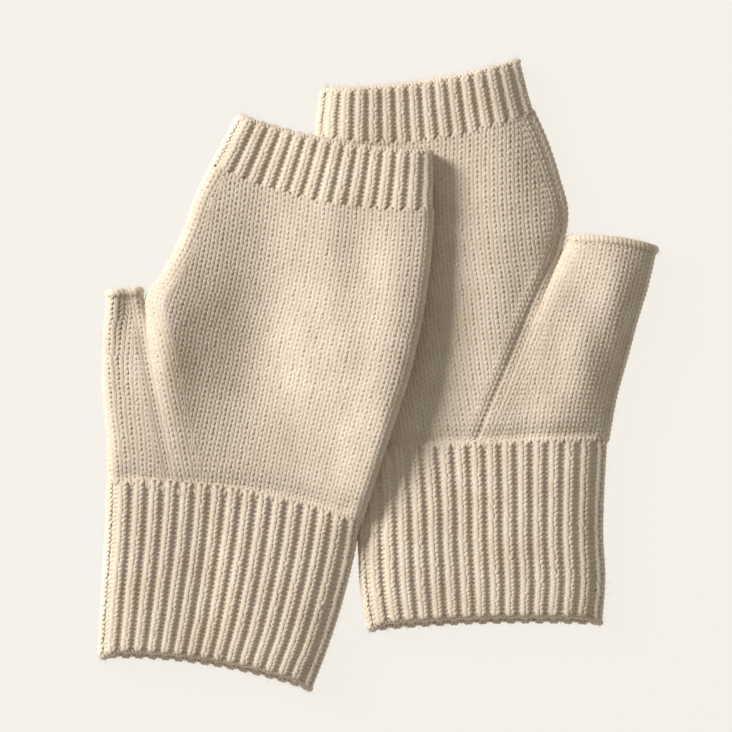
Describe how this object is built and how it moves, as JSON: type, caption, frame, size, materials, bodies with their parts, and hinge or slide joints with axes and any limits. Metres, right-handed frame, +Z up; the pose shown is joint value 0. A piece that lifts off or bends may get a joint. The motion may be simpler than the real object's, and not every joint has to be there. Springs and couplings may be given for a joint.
{
  "type": "pair of fingerless knitted gloves",
  "caption": "Pair of fingerless knitted gloves lying flat and lapped, each with a plain knitted hand, a short open thumb, a ribbed knuckle band and a ribbed wrist cuff.",
  "frame": {"origin": "middle of the pair's footprint, on the surface it lies on", "axes": "+Z up out of that surface, +Y from the wrists towards the fingers, +X towards the thumb of the left glove"},
  "size_m": [0.1968, 0.2196, 0.0188],
  "materials": {
    "knit": "soft plain knit",
    "rib": "ribbed knit",
    "edge": "rolled knitted edge",
    "seam": "linked seam"
  },
  "bodies": {
    "left_glove": {"left_back_panel": "knit", "left_palm_panel": "knit", "left_outer_seam": "seam", "left_index_seam": "seam", "left_gusset_back": "knit", "left_gusset_palm": "knit", "left_knuckle_rib_back": "rib", "left_knuckle_rib_palm": "rib", "left_knuckle_edge": "edge", "left_cuff_rib_back": "rib", "left_cuff_rib_palm": "rib", "left_cuff_edge": "edge"},
    "left_thumb": {"left_thumb_back": "knit", "left_thumb_palm": "knit", "left_thumb_seam": "seam", "left_thumb_edge": "edge"},
    "right_glove": {"right_back_panel": "knit", "right_palm_panel": "knit", "right_outer_seam": "seam", "right_index_seam": "seam", "right_gusset_back": "knit", "right_gusset_palm": "knit", "right_knuckle_rib_back": "rib", "right_knuckle_rib_palm": "rib", "right_knuckle_edge": "edge"},
    "right_thumb": {"right_thumb_back": "knit", "right_thumb_palm": "knit", "right_thumb_seam": "seam", "right_thumb_edge": "edge"},
    "right_cuff": {"right_cuff_rib_back": "rib", "right_cuff_rib_palm": "rib", "right_cuff_edge": "edge"}
  },
  "joints": [
    {"name": "right_glove_lift", "type": "slide", "parent": "left_glove", "child": "right_glove", "axis": [0, 0, 1], "range_m": [0, 0.12]},
    {"name": "right_thumb_fold", "type": "hinge", "parent": "right_glove", "child": "right_thumb", "pos_m": [-0.08875, -0.0021, 0.00935], "axis": [0.1722, 0.9851, 0], "range_deg": [0, 110]},
    {"name": "right_cuff_fold", "type": "hinge", "parent": "right_glove", "child": "right_cuff", "pos_m": [-0.05045, -0.04385, 0.00935], "axis": [-0.9864, 0.1644, 0], "range_deg": [0, 85]},
    {"name": "left_thumb_fold", "type": "hinge", "parent": "left_glove", "child": "left_thumb", "pos_m": [0.0735, 0.01315, 0.00935], "axis": [0.1921, -0.9814, 0], "range_deg": [0, 110]}
  ]
}
